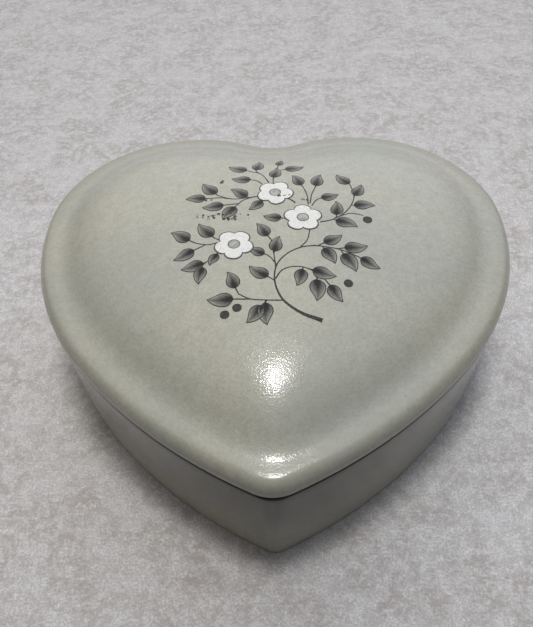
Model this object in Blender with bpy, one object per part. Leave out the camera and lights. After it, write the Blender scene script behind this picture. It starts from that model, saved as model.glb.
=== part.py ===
"""Heart-shaped stoneware trinket box with a lift-off domed lid.

Two pieces: box_base, the heart-shaped dish, and lid, its domed cover with a locating flange.
Metres, +Z up. +X is to the right and the heart's tip points along -Y. The origin is on the
table, in the middle of the rectangle that the lid's outline fills.
"""
import math

import bmesh
import bpy
import numpy as np

MM = 0.001

# Plan outline of the lid at its widest: the right half, from the cleft round to the tip.
# Each arc is (radius, turn, steps). The cleft curves inwards and the others outwards.
CLEFT_ARC = (15.1 * MM, math.radians(24.3), 3)
SHOULDER_ARC = (36.3 * MM, math.radians(110.2), 16)
SIDE_ARC = (65.0 * MM, math.radians(43.3), 7)
FLANK_RADIUS = 113.4 * MM
FLANK_STEPS = 8
LID_TIP_RADIUS = 9.0 * MM
BASE_TIP_RADIUS = 7.0 * MM
TIP_STEPS = 4

# Base: a drafted outer wall, a rounded rim, and a floor that meets the wall in a fillet
FOOT_INSET = 2.7 * MM
FOOT_EDGE_RADIUS = 0.6 * MM
RIM_INSET = 0.4 * MM
RIM_HEIGHT = 29.5 * MM
RIM_OUTER_RADIUS = 0.7 * MM
RIM_INNER_RADIUS = 0.8 * MM
WALL_THICKNESS = 4.2 * MM
INNER_DRAFT = 1.2 * MM
FLOOR_THICKNESS = 4.8 * MM
FLOOR_FILLET = 3.0 * MM

# Lid: the edge roll, the brim, the ogee riser and the crown, from the outside in
SEAT_GAP = 0.3 * MM
WIDEST_HEIGHT = 31.6 * MM
ROLL_RADIUS = 2.6 * MM
UNDER_EDGE_RADIUS = 0.9 * MM
BRIM_SLOPE = math.radians(10.5)
BRIM_END = 3.8 * MM
RISER_SLOPE = math.radians(33.0)
RISER_MIDDLE = 8.4 * MM
CROWN_SLOPE = math.radians(20.2)
CROWN_START = 15.6 * MM
CROWN_MIDDLE = 37.0 * MM
SHELL_THICKNESS = 4.2 * MM
CROWN_CENTRE = (0.0, 4.0 * MM)
INSET_FIELD_POWER = 3
# Pieces that each edge of the outline is cut into when its distance is taken
EDGE_PIECES = 8

# Locating flange under the lid
FLANGE_INSET = 5.9 * MM
FLANGE_THICKNESS = 3.0 * MM
FLANGE_DEPTH = 4.5 * MM
FLANGE_EDGE_RADIUS = 0.9 * MM

# Rings of the dome between the brim and the crown's centre, as shares of the way out
TOP_RINGS = (0.12, 0.26, 0.40, 0.53, 0.65, 0.75, 0.83, 0.90, 0.95)
CEILING_RINGS = (0.15, 0.32, 0.50, 0.67, 0.81, 0.92)

MERGE_DISTANCE = 0.01 * MM
SMOOTH_ANGLE = math.radians(40.0)

GLAZE_COLOUR = (0.47, 0.46, 0.39, 1.0)
GLAZE_ROUGHNESS = 0.28


def clear_scene():
    for scene_object in list(bpy.data.objects):
        bpy.data.objects.remove(scene_object, do_unlink=True)


def plan_arcs():
    """Centres of the outline's arcs, in metres, with the cleft's middle at (0, 0).

    Returns (centre, signed radius, start heading, end heading, steps) for each arc. The
    heading is the direction of travel. A negative radius curves inwards.
    """
    arcs = []
    point = np.zeros(2)
    heading = 0.0
    cleft = (-CLEFT_ARC[0], CLEFT_ARC[1], CLEFT_ARC[2])
    for radius, turn, steps in (cleft, SHOULDER_ARC, SIDE_ARC):
        centre = point + radius * np.array((math.sin(heading), -math.cos(heading)))
        end = heading - math.copysign(turn, radius)
        arcs.append((centre, radius, heading, end, steps))
        point = centre - radius * np.array((math.sin(end), -math.cos(end)))
        heading = end
    centre = point + FLANK_RADIUS * np.array((math.sin(heading), -math.cos(heading)))
    arcs.append((centre, FLANK_RADIUS, heading, None, FLANK_STEPS))
    return arcs


def half_outline(inset, tip):
    """Right half of the outline drawn inset metres inside the widest line, cleft to tip.

    tip is the radius that the tip has on the widest line.
    """
    points = []
    for centre, radius, start, end, steps in plan_arcs():
        if end is None:
            # The flank ends where the tip's arc begins, or on x = 0 once that arc is gone.
            reach = FLANK_RADIUS - max(tip, inset)
            end = -math.pi - math.asin(centre[0] / reach)
            tip_centre = np.array((0.0, centre[1] + reach * math.cos(end)))
        for step in range(steps):
            angle = start + (end - start) * step / steps
            normal = np.array((-math.sin(angle), math.cos(angle)))
            points.append(centre + (radius - inset) * normal)
    tip_radius = max(tip - inset, 0.0)
    for step in range(TIP_STEPS + 1):
        angle = end + (-math.pi - end) * step / TIP_STEPS
        points.append(tip_centre + tip_radius * np.array((-math.sin(angle), math.cos(angle))))
    points[0][0] = 0.0
    points[-1][0] = 0.0
    return np.array(points)


def outline(inset, tip=LID_TIP_RADIUS):
    """The whole outline, clockwise from the cleft, centred on the lid's rectangle."""
    right = half_outline(inset, tip)
    left = right[-2:0:-1] * np.array((-1.0, 1.0))
    return np.vstack((right, left)) - np.array((0.0, PLAN_MIDDLE))


def plan_middle():
    """Middle, along Y, of the lid's rectangle, measured from the cleft."""
    shoulder_centre = plan_arcs()[1][0]
    lobe_top = shoulder_centre[1] + SHOULDER_ARC[0]
    return (lobe_top + half_outline(0.0, LID_TIP_RADIUS)[-1][1]) / 2


PLAN_MIDDLE = plan_middle()


def inset_field(points):
    """Smoothed distance from each point to the widest line.

    Near the edge it is the distance itself. Inside, it rounds off the ridge that a plain
    distance has down the middle of the heart.
    """
    edge = outline(0.0)
    following = np.roll(edge, -1, axis=0)
    shares = (np.arange(EDGE_PIECES) + 0.5) / EDGE_PIECES
    samples = (edge[:, None] + (following - edge)[:, None] * shares[None, :, None]).reshape(-1, 2)
    weights = np.linalg.norm(following - edge, axis=1) / EDGE_PIECES
    weights = np.repeat(weights, EDGE_PIECES)
    power = INSET_FIELD_POWER
    scale = math.gamma((power + 1) / 2) / (math.sqrt(math.pi) * math.gamma(power / 2))
    squares = ((points[:, None] - samples[None]) ** 2).sum(axis=2)
    total = (weights / squares ** ((power + 1) / 2)).sum(axis=1)
    return (scale * total) ** (-1 / power)


def dome_height(insets):
    """Height of the lid's top face at each inset: brim, two riser arcs, then the crown."""
    roll_end = ROLL_RADIUS * (1 - math.sin(BRIM_SLOPE))
    brim_start_height = WIDEST_HEIGHT + ROLL_RADIUS * math.cos(BRIM_SLOPE)
    brim_end_height = brim_start_height + (BRIM_END - roll_end) * math.tan(BRIM_SLOPE)
    heights = brim_start_height + (insets - roll_end) * math.tan(BRIM_SLOPE)
    stations = (
        (BRIM_END, BRIM_SLOPE),
        (RISER_MIDDLE, RISER_SLOPE),
        (CROWN_START, CROWN_SLOPE),
        (CROWN_MIDDLE, 0.0),
    )
    start_height = brim_end_height
    for (start, slope), (end, end_slope) in zip(stations, stations[1:]):
        radius = (end - start) / (math.sin(end_slope) - math.sin(slope))
        sines = math.sin(slope) + (np.minimum(insets, end) - start) / radius
        arc_heights = start_height + radius * (math.cos(slope) - np.sqrt(1 - sines ** 2))
        heights = np.where(insets >= start, arc_heights, heights)
        start_height += radius * (math.cos(slope) - math.cos(end_slope))
    return heights


def section_arc(inset, height, radius, start, end, steps):
    """(inset, height) points of a round in the wall's section; angles in degrees."""
    angles = np.radians(np.linspace(start, end, steps + 1))
    return [(inset + radius * math.cos(a), height + radius * math.sin(a)) for a in angles]


def level_ring(inset, height, tip=LID_TIP_RADIUS):
    plan = outline(inset, tip)
    return np.column_stack((plan, np.full(len(plan), height)))


def dome_ring(plan, drop=0.0):
    return np.column_stack((plan, dome_height(inset_field(plan)) - drop))


def shrunk(plan, share):
    """The outline drawn in towards the crown's centre."""
    centre = np.array(CROWN_CENTRE)
    return centre + (plan - centre) * share


def ceramic_material(name):
    material = bpy.data.materials.new(name)
    material.use_nodes = True
    shader = material.node_tree.nodes["Principled BSDF"]
    shader.inputs["Base Color"].default_value = GLAZE_COLOUR
    shader.inputs["Roughness"].default_value = GLAZE_ROUGHNESS
    shader.inputs["Metallic"].default_value = 0.0
    material.diffuse_color = GLAZE_COLOUR
    return material


def closed_body(name, rings, first_cap, last_cap):
    """Bridge the rings in order and close both ends.

    A cap is either None, for one flat face across the ring, or a point that the ring's
    edges are fanned to.
    """
    mesh_builder = bmesh.new()
    loops = [[mesh_builder.verts.new(point) for point in ring] for ring in rings]
    for ring, following in zip(loops, loops[1:]):
        for index in range(len(ring)):
            after = (index + 1) % len(ring)
            mesh_builder.faces.new((ring[index], ring[after], following[after], following[index]))
    for ring, cap in ((loops[0], first_cap), (loops[-1], last_cap)):
        if cap is None:
            mesh_builder.faces.new(ring)
            continue
        centre = mesh_builder.verts.new(cap)
        for index in range(len(ring)):
            mesh_builder.faces.new((ring[index - 1], ring[index], centre))
    bmesh.ops.remove_doubles(mesh_builder, verts=mesh_builder.verts, dist=MERGE_DISTANCE)
    bmesh.ops.recalc_face_normals(mesh_builder, faces=mesh_builder.faces)
    mesh = bpy.data.meshes.new(name)
    mesh_builder.to_mesh(mesh)
    mesh_builder.free()
    mesh.shade_smooth()
    mesh.set_sharp_from_angle(angle=SMOOTH_ANGLE)
    body = bpy.data.objects.new(name, mesh)
    bpy.context.collection.objects.link(body)
    mesh.materials.append(ceramic_material(name + "_glaze"))
    return body


def build_base():
    """The dish: from the middle of its underside, up the outer wall and down the inner one."""
    inner_inset = RIM_INSET + WALL_THICKNESS
    section = section_arc(
        FOOT_INSET + FOOT_EDGE_RADIUS, FOOT_EDGE_RADIUS, FOOT_EDGE_RADIUS, 270, 180, 3
    )
    section += section_arc(
        RIM_INSET + RIM_OUTER_RADIUS, RIM_HEIGHT - RIM_OUTER_RADIUS, RIM_OUTER_RADIUS, 180, 90, 3
    )
    section += section_arc(
        inner_inset - RIM_INNER_RADIUS, RIM_HEIGHT - RIM_INNER_RADIUS, RIM_INNER_RADIUS, 90, 0, 2
    )
    section += section_arc(
        inner_inset + INNER_DRAFT + FLOOR_FILLET, FLOOR_THICKNESS + FLOOR_FILLET, FLOOR_FILLET,
        180, 270, 4,
    )
    rings = [level_ring(inset, height, BASE_TIP_RADIUS) for inset, height in section]
    return closed_body("box_base", rings, None, None)


def build_lid():
    """The cover: from the crown, out over the brim and roll, down the flange and back in."""
    brim = outline(BRIM_END)
    rings = [dome_ring(shrunk(brim, share)) for share in TOP_RINGS]
    rings.append(dome_ring(brim))
    seat = RIM_HEIGHT + SEAT_GAP
    under_edge = seat + UNDER_EDGE_RADIUS
    brim_angle = 90 + math.degrees(BRIM_SLOPE)
    section = section_arc(ROLL_RADIUS, WIDEST_HEIGHT, ROLL_RADIUS, brim_angle, 180, 5)
    section += section_arc(UNDER_EDGE_RADIUS, under_edge, UNDER_EDGE_RADIUS, 180, 270, 3)
    section.append((FLANGE_INSET, seat))
    flange_bottom = seat - FLANGE_DEPTH
    round_height = flange_bottom + FLANGE_EDGE_RADIUS
    section += section_arc(
        FLANGE_INSET + FLANGE_EDGE_RADIUS, round_height, FLANGE_EDGE_RADIUS, 180, 270, 2
    )
    flange_inner = FLANGE_INSET + FLANGE_THICKNESS
    section += section_arc(
        flange_inner - FLANGE_EDGE_RADIUS, round_height, FLANGE_EDGE_RADIUS, 270, 360, 2
    )
    rings += [level_ring(inset, height) for inset, height in section]
    ceiling = outline(flange_inner)
    rings.append(dome_ring(ceiling, SHELL_THICKNESS))
    for share in reversed(CEILING_RINGS):
        rings.append(dome_ring(shrunk(ceiling, share), SHELL_THICKNESS))
    crown = dome_ring(np.array([CROWN_CENTRE]))[0]
    crown_inside = crown - np.array((0.0, 0.0, SHELL_THICKNESS))
    return closed_body("lid", rings, crown, crown_inside)


clear_scene()
build_base()
build_lid()
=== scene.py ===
"""Looks of the heart-shaped stoneware trinket box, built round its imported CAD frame.

Both ceramic pieces are made again here as fine, slightly uneven surfaces, glazed and, where
they touch each other or the table, bare. The lid also carries a printed spray of blossoms,
leaves and berries, laid on its dome. Metres, +Z up, the heart's tip towards -Y.
"""

import math
import random

import bmesh
import bpy
import numpy as np
from mathutils import Matrix, Vector, noise


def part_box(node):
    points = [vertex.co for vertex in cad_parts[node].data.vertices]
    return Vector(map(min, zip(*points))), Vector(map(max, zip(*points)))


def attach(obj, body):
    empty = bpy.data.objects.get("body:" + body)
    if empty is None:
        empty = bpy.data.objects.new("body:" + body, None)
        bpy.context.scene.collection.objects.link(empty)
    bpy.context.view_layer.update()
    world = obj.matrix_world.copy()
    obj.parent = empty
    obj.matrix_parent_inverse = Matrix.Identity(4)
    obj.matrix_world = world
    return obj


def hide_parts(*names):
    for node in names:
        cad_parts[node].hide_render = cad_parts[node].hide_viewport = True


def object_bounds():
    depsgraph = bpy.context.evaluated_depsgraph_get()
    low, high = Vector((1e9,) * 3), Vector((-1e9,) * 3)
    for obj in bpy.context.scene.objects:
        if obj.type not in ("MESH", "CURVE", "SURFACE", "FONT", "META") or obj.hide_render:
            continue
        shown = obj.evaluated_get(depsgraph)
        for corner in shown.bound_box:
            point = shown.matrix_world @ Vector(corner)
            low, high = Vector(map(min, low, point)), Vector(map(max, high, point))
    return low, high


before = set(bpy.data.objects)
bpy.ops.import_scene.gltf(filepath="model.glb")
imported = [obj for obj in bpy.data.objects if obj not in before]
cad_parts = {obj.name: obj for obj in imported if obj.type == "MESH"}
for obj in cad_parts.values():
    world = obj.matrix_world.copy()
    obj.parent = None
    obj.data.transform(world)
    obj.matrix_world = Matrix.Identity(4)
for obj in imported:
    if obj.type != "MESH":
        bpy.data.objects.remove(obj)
CAD_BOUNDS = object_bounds()
BASE_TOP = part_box("box_base")[1].z
LID_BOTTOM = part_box("lid")[0].z

MM = 0.001

# ---------------------------------------------------------------- plan outline
# The same arcs as the CAD part, with finer steps: (radius, turn, steps)
CLEFT_ARC = (-15.1 * MM, math.radians(24.3), 16)
SHOULDER_ARC = (36.3 * MM, math.radians(110.2), 64)
SIDE_ARC = (65.0 * MM, math.radians(43.3), 28)
FLANK_RADIUS = 113.4 * MM
FLANK_STEPS = 32
LID_TIP_RADIUS = 9.0 * MM
BASE_TIP_RADIUS = 7.0 * MM
TIP_STEPS = 16

# ---------------------------------------------------------------- wall sections
FOOT_INSET = 2.7 * MM
FOOT_EDGE_RADIUS = 0.6 * MM
RIM_INSET = 0.3 * MM
RIM_HEIGHT = BASE_TOP
RIM_OUTER_RADIUS = 0.7 * MM
RIM_INNER_RADIUS = 0.8 * MM
WALL_THICKNESS = 4.2 * MM
INNER_DRAFT = 1.2 * MM
FLOOR_THICKNESS = 4.8 * MM
FLOOR_FILLET = 3.0 * MM

SEAT_GAP = 0.3 * MM
SEAT_HEIGHT = RIM_HEIGHT + SEAT_GAP
WIDEST_RISE = 2.1 * MM
WIDEST_HEIGHT = RIM_HEIGHT + WIDEST_RISE
ROLL_RADIUS = 2.6 * MM
UNDER_EDGE_RADIUS = 0.9 * MM
BRIM_SLOPE = math.radians(10.5)
BRIM_END = 3.8 * MM
RISER_SLOPE = math.radians(33.0)
RISER_MIDDLE = 8.4 * MM
CROWN_SLOPE = math.radians(20.2)
CROWN_START = 15.6 * MM
CROWN_MIDDLE = 37.0 * MM
SHELL_THICKNESS = 4.2 * MM
CROWN_CENTRE = np.array((0.0, 4.0 * MM))
INSET_FIELD_POWER = 3
FLANGE_INSET = 5.9 * MM
FLANGE_THICKNESS = 3.0 * MM
FLANGE_BOTTOM = LID_BOTTOM
FLANGE_EDGE_RADIUS = 0.9 * MM

# Unevenness of the fired clay, in height, and the size of its waves
WARP_HEIGHT = 0.03 * MM
WARP_SIZE = 14.0 * MM
RIPPLE_HEIGHT = 0.004 * MM
RIPPLE_SIZE = 2.6 * MM

# One layer of the print, which is how far its stems stand off the glaze, and the number of
# layers under everything else in it
PRINT_LIFT = 0.035 * MM
LEAF_LAYERS = 1.6
BERRY_LAYERS = 1.8
PETAL_EDGE_LAYERS = 2.2
PETAL_PUFF_LAYERS = 2.0
BLOSSOM_HEART_LAYERS = 4.2
FLECK_LAYERS = 5.0

# Where the glaze pools and painted shade darkens the hollow ring, measured in from the lid's edge;
# both fade out towards the back
POOL_AND_SHADE_MIDDLE = 8.4 * MM
POOL_AND_SHADE_WIDTH = 4.5 * MM
POOL_AND_SHADE_BACK = 30.0 * MM
# On the dish, painted shade under the lid's overhang darkens the outer wall towards its top, less
# so away from the tip
RIM_SHADE_HEIGHT = 24.0 * MM
RIM_SHADE_SHARE = 0.62
TIP_SHADE_START = -30.0 * MM
TIP_SHADE_LENGTH = 24.0 * MM
# Where the glaze breaks thin and tan over the roll and brim, with painted shade there too: most on
# the lobes, less in front
THIN_AND_SHADE_MIDDLE = 2.0 * MM
THIN_AND_SHADE_WIDTH = 2.6 * MM
THIN_AND_SHADE_FRONT = 5.0 * MM
THIN_AND_SHADE_FADE = 25.0 * MM
THIN_AND_SHADE_IN_FRONT = 0.6

MERGE_DISTANCE = 0.002 * MM
PRINT_MERGE_DISTANCE = 0.001 * MM

# Room kept inside the CAD's own box for the finer curve, the waves and the print
OUTLINE_ROOM = 0.11 * MM
CROWN_ROOM = 0.22 * MM


def plan_arcs():
    """(centre, signed radius, start heading, end heading, steps), the cleft at (0, 0)."""
    arcs = []
    point = np.zeros(2)
    heading = 0.0
    for radius, turn, steps in (CLEFT_ARC, SHOULDER_ARC, SIDE_ARC):
        centre = point + radius * np.array((math.sin(heading), -math.cos(heading)))
        end = heading - math.copysign(turn, radius)
        arcs.append((centre, radius, heading, end, steps))
        point = centre - radius * np.array((math.sin(end), -math.cos(end)))
        heading = end
    centre = point + FLANK_RADIUS * np.array((math.sin(heading), -math.cos(heading)))
    arcs.append((centre, FLANK_RADIUS, heading, None, FLANK_STEPS))
    return arcs


def arc_points(centre, radius, start, end, shares):
    angles = start + (end - start) * shares
    return centre + radius * np.column_stack((-np.sin(angles), np.cos(angles)))


def half_outline(inset, tip):
    """Right half of the outline, inset metres inside the widest line, cleft to tip."""
    inset += OUTLINE_ROOM
    runs = []
    for centre, radius, start, end, steps in plan_arcs():
        if end is None:
            reach = FLANK_RADIUS - max(tip, inset)
            end = -math.pi - math.asin(centre[0] / reach)
            tip_centre = np.array((0.0, centre[1] + reach * math.cos(end)))
        runs.append(arc_points(centre, radius - inset, start, end, np.arange(steps) / steps))
    tip_shares = np.arange(TIP_STEPS + 1) / TIP_STEPS
    runs.append(arc_points(tip_centre, max(tip - inset, 0.0), end, -math.pi, tip_shares))
    points = np.vstack(runs)
    points[0, 0] = 0.0
    points[-1, 0] = 0.0
    return points


def plan_middle():
    """Middle, along Y, of the lid's rectangle, measured from the cleft."""
    lobe_top = plan_arcs()[1][0][1] + SHOULDER_ARC[0]
    return (lobe_top + half_outline(-OUTLINE_ROOM, LID_TIP_RADIUS)[-1][1]) / 2


PLAN_MIDDLE = plan_middle()


def outline(inset, tip=LID_TIP_RADIUS):
    """The whole outline, clockwise from the cleft, centred on the lid's rectangle."""
    right = half_outline(inset, tip)
    left = right[-2:0:-1] * np.array((-1.0, 1.0))
    return np.vstack((right, left)) - np.array((0.0, PLAN_MIDDLE))


def edge_samples():
    """Midpoints and lengths of short pieces of the widest line."""
    edge = outline(0.0)
    following = np.roll(edge, -1, axis=0)
    shares = np.array((0.25, 0.75))
    middles = edge[:, None] + (following - edge)[:, None] * shares[None, :, None]
    lengths = np.linalg.norm(following - edge, axis=1) / len(shares)
    return middles.reshape(-1, 2), np.repeat(lengths, len(shares))


EDGE_POINTS, EDGE_LENGTHS = edge_samples()


def inset_field(points):
    """Distance to the widest line, with the ridge down the heart's middle rounded off."""
    power = INSET_FIELD_POWER
    scale = math.gamma((power + 1) / 2) / (math.sqrt(math.pi) * math.gamma(power / 2))
    squares = ((points[:, None] - EDGE_POINTS[None]) ** 2).sum(axis=2)
    total = (EDGE_LENGTHS / squares ** ((power + 1) / 2)).sum(axis=1)
    return (scale * total) ** (-1 / power)


def dome_height(insets):
    """Height of the lid's top face: the brim, the two riser arcs and the crown."""
    roll_end = ROLL_RADIUS * (1 - math.sin(BRIM_SLOPE))
    roll_top = WIDEST_HEIGHT + ROLL_RADIUS * math.cos(BRIM_SLOPE)
    heights = roll_top + (insets - roll_end) * math.tan(BRIM_SLOPE)
    stations = (
        (BRIM_END, BRIM_SLOPE),
        (RISER_MIDDLE, RISER_SLOPE),
        (CROWN_START, CROWN_SLOPE),
        (CROWN_MIDDLE, 0.0),
    )
    start_height = roll_top + (BRIM_END - roll_end) * math.tan(BRIM_SLOPE)
    for (start, slope), (end, end_slope) in zip(stations, stations[1:]):
        radius = (end - start) / (math.sin(end_slope) - math.sin(slope))
        sines = math.sin(slope) + (np.clip(insets, start, end) - start) / radius
        arc_heights = start_height + radius * (math.cos(slope) - np.sqrt(1 - sines ** 2))
        heights = np.where(insets >= start, arc_heights, heights)
        start_height += radius * (math.cos(slope) - math.cos(end_slope))
    return heights


def unevenness(points):
    """How far the fired clay strays from its drawn height at each plan point."""
    warp = [noise.noise(Vector((x / WARP_SIZE, y / WARP_SIZE, 3.1))) for x, y in points]
    ripple = [noise.noise(Vector((x / RIPPLE_SIZE, y / RIPPLE_SIZE, 7.7))) for x, y in points]
    return WARP_HEIGHT * np.array(warp) + RIPPLE_HEIGHT * np.array(ripple)


def top_height(points):
    """The lid's top face as it came out of the kiln: true at the roll, uneven inside it."""
    insets = inset_field(points)
    fade = np.clip((insets - ROLL_RADIUS) / ROLL_RADIUS, 0.0, 1.0)
    return dome_height(insets) + (unevenness(points) - CROWN_ROOM) * fade


# ---------------------------------------------------------------- meshes
def level_ring(inset, height, tip=LID_TIP_RADIUS):
    plan = outline(inset, tip)
    return np.column_stack((plan, np.full(len(plan), height)))


def section_arc(inset, height, radius, start, end, steps):
    """(inset, height) points of a round in the wall's section; angles in degrees."""
    angles = np.radians(np.linspace(start, end, steps + 1))
    return [(inset + radius * math.cos(a), height + radius * math.sin(a)) for a in angles]


def closed_mesh(name, rings, slots, first_cap, last_cap):
    """Bridges the rings in order and closes both ends; slots[i] is band i's material.

    A cap is None, for one flat face across the ring, or a point the ring is fanned to.
    """
    builder = bmesh.new()
    loops = [[builder.verts.new(point) for point in ring] for ring in rings]
    for ring, following, slot in zip(loops, loops[1:], slots):
        for index in range(len(ring)):
            after = (index + 1) % len(ring)
            corners = (ring[index], ring[after], following[after], following[index])
            builder.faces.new(corners).material_index = slot
    ends = ((loops[0], first_cap, slots[0]), (loops[-1], last_cap, slots[-1]))
    for ring, cap, slot in ends:
        if cap is None:
            builder.faces.new(ring).material_index = slot
            continue
        centre = builder.verts.new(cap)
        for index in range(len(ring)):
            builder.faces.new((ring[index - 1], ring[index], centre)).material_index = slot
    bmesh.ops.remove_doubles(builder, verts=builder.verts, dist=MERGE_DISTANCE)
    bmesh.ops.recalc_face_normals(builder, faces=builder.faces)
    return finished_object(name, builder)


def finished_object(name, builder):
    mesh = bpy.data.meshes.new(name)
    builder.to_mesh(mesh)
    builder.free()
    mesh.shade_smooth()
    made = bpy.data.objects.new(name, mesh)
    bpy.context.scene.collection.objects.link(made)
    return made


GLAZED = 0
BARE = 1

# Steps round each part of the dish's section, and how far in its floor's rings lie
FOOT_STEPS = 8
BARE_FOOT_STEPS = 4
WALL_STEPS = 12
RIM_STEPS = 8
GLAZED_RIM_STEPS = 6
BARE_INNER_STEPS = 2
RIM_INNER_STEPS = 5
INSIDE_WALL_STEPS = 8
FILLET_STEPS = 10
FLOOR_RINGS = (4 * MM, 9 * MM)
# The same for the lid, whose crown and ceiling are rings drawn in towards its middle
CROWN_SHARES = np.linspace(0.015, 1.0, 64)
BRIM_STEPS = 5
ROLL_STEPS = 16
SKIRT_STEPS = 4
UNDER_EDGE_STEPS = 8
FLANGE_ROUND_STEPS = 5
CEILING_SHARES = np.linspace(1.0, 0.03, 36)


def build_base(glaze, clay):
    """The dish: under the foot, up the outer wall, over the rim, down inside to the floor."""
    inner = RIM_INSET + WALL_THICKNESS
    foot_round = section_arc(
        FOOT_INSET + FOOT_EDGE_RADIUS, FOOT_EDGE_RADIUS, FOOT_EDGE_RADIUS, 270, 180, FOOT_STEPS
    )
    rim_outer = section_arc(
        RIM_INSET + RIM_OUTER_RADIUS, RIM_HEIGHT - RIM_OUTER_RADIUS, RIM_OUTER_RADIUS,
        180, 90, RIM_STEPS,
    )
    rim_inner = section_arc(
        inner - RIM_INNER_RADIUS, RIM_HEIGHT - RIM_INNER_RADIUS, RIM_INNER_RADIUS,
        90, 0, RIM_INNER_STEPS,
    )
    fillet = section_arc(
        inner + INNER_DRAFT + FLOOR_FILLET, FLOOR_THICKNESS + FLOOR_FILLET, FLOOR_FILLET,
        180, 270, FILLET_STEPS,
    )
    wall = straight(foot_round[-1], rim_outer[0], WALL_STEPS)
    inside_wall = straight(rim_inner[-1], fillet[0], INSIDE_WALL_STEPS)
    floor = [(fillet[-1][0] + reach, FLOOR_THICKNESS) for reach in FLOOR_RINGS]
    section = foot_round + wall + rim_outer + rim_inner + inside_wall + fillet + floor
    rings = [level_ring(inset, height, BASE_TIP_RADIUS) for inset, height in section]
    rim_start = len(foot_round) + len(wall) + GLAZED_RIM_STEPS
    rim_end = len(foot_round) + len(wall) + len(rim_outer) + BARE_INNER_STEPS
    slots = [GLAZED] * (len(section) - 1)
    slots[:BARE_FOOT_STEPS] = [BARE] * BARE_FOOT_STEPS
    slots[rim_start:rim_end] = [BARE] * (rim_end - rim_start)
    base = closed_mesh("stoneware_base", rings, slots, None, None)
    mark_shade_under_lid(base.data)
    base.data.materials.append(glaze)
    base.data.materials.append(clay)
    return base


def straight(start, end, steps):
    """The points between two section points, ends left out."""
    shares = np.arange(1, steps) / steps
    return [tuple(np.array(start) + (np.array(end) - np.array(start)) * s) for s in shares]


def eased(shares):
    """Clamps to 0 to 1, easing in and out."""
    shares = np.clip(shares, 0.0, 1.0)
    return shares * shares * (3 - 2 * shares)


def mark_shade_under_lid(mesh):
    """Stores how much painted shade darkens the outer wall under the lid's overhang, towards the
    dish's rim.
    """
    # Painted shade under the lid's overhang, deepest near the tip
    places = np.array([vertex.co for vertex in mesh.vertices])
    outside = inset_field(places[:, :2]) < WALL_THICKNESS
    near_tip = eased((TIP_SHADE_START - places[:, 1]) / TIP_SHADE_LENGTH)
    share = RIM_SHADE_SHARE + (1 - RIM_SHADE_SHARE) * near_tip
    depths = share * eased(places[:, 2] / RIM_SHADE_HEIGHT)
    pool_and_shade = mesh.attributes.new("pool_and_shade", "FLOAT", "POINT")
    pool_and_shade.data.foreach_set("value", np.where(outside, depths, 0.0).astype(np.float32))


def mark_pooled_glaze_and_shade(mesh):
    """Stores how much the hollow ring darkens, as pooled glaze and painted shade, and how much the
    roll goes tan, as thin glaze and painted shade.
    """
    places = np.array([vertex.co for vertex in mesh.vertices])
    insets = inset_field(places[:, :2])
    # Darker hollow ring: pooled glaze with painted shade, fading out towards the back
    forward = np.clip((POOL_AND_SHADE_BACK - places[:, 1]) / POOL_AND_SHADE_BACK, 0.0, 1.0)
    depths = forward * np.exp(-((insets - POOL_AND_SHADE_MIDDLE) / POOL_AND_SHADE_WIDTH) ** 2)
    on_top = places[:, 2] > dome_height(insets) - SHELL_THICKNESS / 2
    pool_and_shade = mesh.attributes.new("pool_and_shade", "FLOAT", "POINT")
    pool_and_shade.data.foreach_set("value", np.where(on_top, depths, 0.0).astype(np.float32))
    # Tan over the roll and brim: thin glaze with painted shade, most at the back
    behind = np.clip((places[:, 1] - THIN_AND_SHADE_FRONT) / THIN_AND_SHADE_FADE, THIN_AND_SHADE_IN_FRONT, 1.0)
    rim = behind * np.exp(-((insets - THIN_AND_SHADE_MIDDLE) / THIN_AND_SHADE_WIDTH) ** 2)
    on_roll = places[:, 2] > WIDEST_HEIGHT
    thin = mesh.attributes.new("thin", "FLOAT", "POINT")
    thin.data.foreach_set("value", np.where(on_roll, rim, 0.0).astype(np.float32))


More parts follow.
